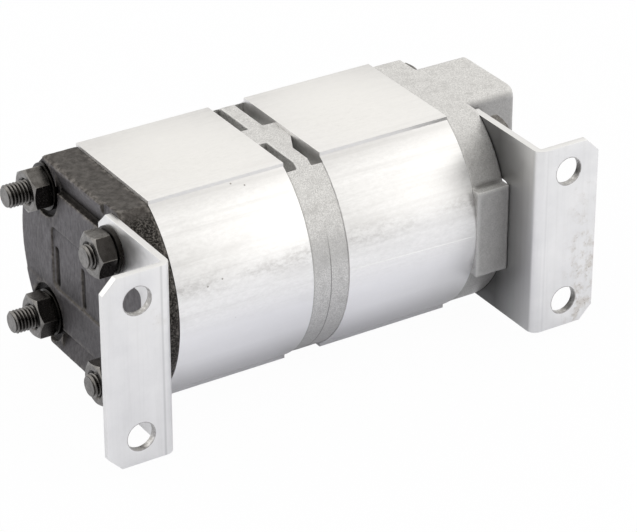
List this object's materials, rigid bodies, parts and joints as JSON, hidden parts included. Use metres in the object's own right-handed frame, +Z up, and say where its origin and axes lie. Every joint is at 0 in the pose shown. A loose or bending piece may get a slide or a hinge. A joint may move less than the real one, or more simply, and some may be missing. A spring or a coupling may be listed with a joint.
{
  "type": "gear flow divider",
  "caption": "Rotary gear flow divider: gear sections bolted between a closed cover and an inlet cover, with bent mounting brackets.",
  "frame": {"origin": "centre of the four mounting holes, on the outer face of the bracket flanges", "axes": "+X along the stack towards the inlet port, -Y out of the mounting face, +Z up from the outlets to the gallery side"},
  "size_m": [0.2294, 0.1258, 0.09],
  "materials": {
    "black_iron": "black cast iron, rough where cast and smooth where machined",
    "extruded_aluminium": "bright drawn aluminium with fine lines along the extrusion",
    "cast_aluminium": "grainy grey die-cast aluminium",
    "zinc_plate": "pale satin zinc plating",
    "black_steel": "black oxide with a light oil film",
    "gear_steel": "ground and hardened steel",
    "block_aluminium": "machined aluminium",
    "bush_bronze": "sintered bronze with a dark lining",
    "seal_rubber": "matt black nitrile rubber"
  },
  "bodies": {
    "housing": {"front_cover": "black_iron", "section_1_body": "extruded_aluminium", "center_plate": "cast_aluminium", "section_2_body": "extruded_aluminium", "rear_cover": "cast_aluminium", "front_bracket": "zinc_plate", "rear_bracket": "zinc_plate", "tie_bolts": "black_steel", "tie_nuts": "black_steel", "nut_washers": "black_steel", "head_washers": "black_steel", "dowel_pins": "gear_steel", "front_cover_seal": "seal_rubber", "plate_front_seal": "seal_rubber", "plate_rear_seal": "seal_rubber", "rear_cover_seal": "seal_rubber", "section_1_front_bearing_block": "block_aluminium", "section_1_rear_bearing_block": "block_aluminium", "section_1_bushes": "bush_bronze", "section_1_block_seals": "seal_rubber", "section_2_front_bearing_block": "block_aluminium", "section_2_rear_bearing_block": "block_aluminium", "section_2_bushes": "bush_bronze", "section_2_block_seals": "seal_rubber"},
    "section_1_drive_shaft": {"section_1_drive_gear": "gear_steel"},
    "section_1_driven_shaft": {"section_1_driven_gear": "gear_steel"},
    "coupling_sleeve": {"shaft_coupling": "gear_steel"},
    "section_2_drive_shaft": {"section_2_drive_gear": "gear_steel"},
    "section_2_driven_shaft": {"section_2_driven_gear": "gear_steel"}
  },
  "joints": [
    {"name": "section_1_drive_spin", "type": "hinge", "parent": "housing", "child": "section_1_drive_shaft", "pos_m": [0, 0.0545, 0], "axis": [1, 0, 0], "continuous": true},
    {"name": "section_1_driven_spin", "type": "hinge", "parent": "housing", "child": "section_1_driven_shaft", "pos_m": [0, 0.0905, 0], "axis": [1, 0, 0], "continuous": true},
    {"name": "coupling_spin", "type": "hinge", "parent": "housing", "child": "coupling_sleeve", "pos_m": [0, 0.0545, 0], "axis": [1, 0, 0], "continuous": true},
    {"name": "section_2_drive_spin", "type": "hinge", "parent": "housing", "child": "section_2_drive_shaft", "pos_m": [0, 0.0545, 0], "axis": [1, 0, 0], "continuous": true},
    {"name": "section_2_driven_spin", "type": "hinge", "parent": "housing", "child": "section_2_driven_shaft", "pos_m": [0, 0.0905, 0], "axis": [1, 0, 0], "continuous": true}
  ],
  "couplings": [
    {"joint": "section_1_driven_spin", "follows": "section_1_drive_spin", "ratio": -1},
    {"joint": "coupling_spin", "follows": "section_1_drive_spin", "ratio": 1},
    {"joint": "section_2_drive_spin", "follows": "section_1_drive_spin", "ratio": 1},
    {"joint": "section_2_driven_spin", "follows": "section_1_drive_spin", "ratio": -1}
  ]
}
